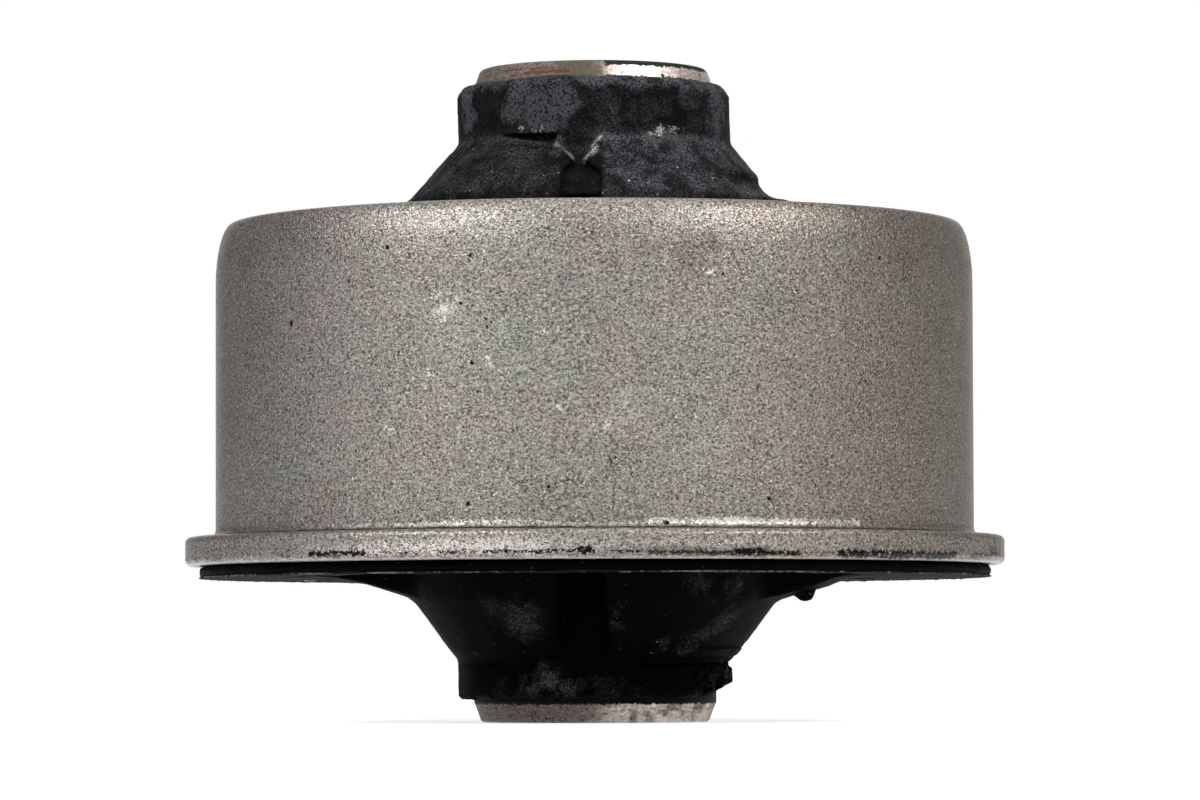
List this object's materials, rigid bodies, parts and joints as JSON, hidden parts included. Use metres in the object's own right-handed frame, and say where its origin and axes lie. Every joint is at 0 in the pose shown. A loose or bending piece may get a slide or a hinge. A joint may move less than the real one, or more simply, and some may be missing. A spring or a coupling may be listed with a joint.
{
  "type": "bonded rubber bush",
  "caption": "Flanged steel sleeve with a rubber body bonded round a tubular inner sleeve, which lets a suspension arm twist and give a little.",
  "frame": {"origin": "centre of the bore at the inner sleeve's lower end face, on which the bush stands", "axes": "+Z along the bore, from the flanged end to the lead-in end; the rubber arms lie along X and the voids face -Y and +Y"},
  "size_m": [0.0648, 0.0648, 0.0517],
  "materials": {
    "phosphated_steel": "fine-grained grey phosphate coat on pressed steel, worn and pitted",
    "black_rubber": "matt black moulded rubber with pale scuffs",
    "bare_steel": "turned steel, partly rusted and stained"
  },
  "bodies": {
    "root": {"outer_sleeve": "phosphated_steel", "rubber_body": "black_rubber", "inner_sleeve": "bare_steel"}
  },
  "joints": []
}
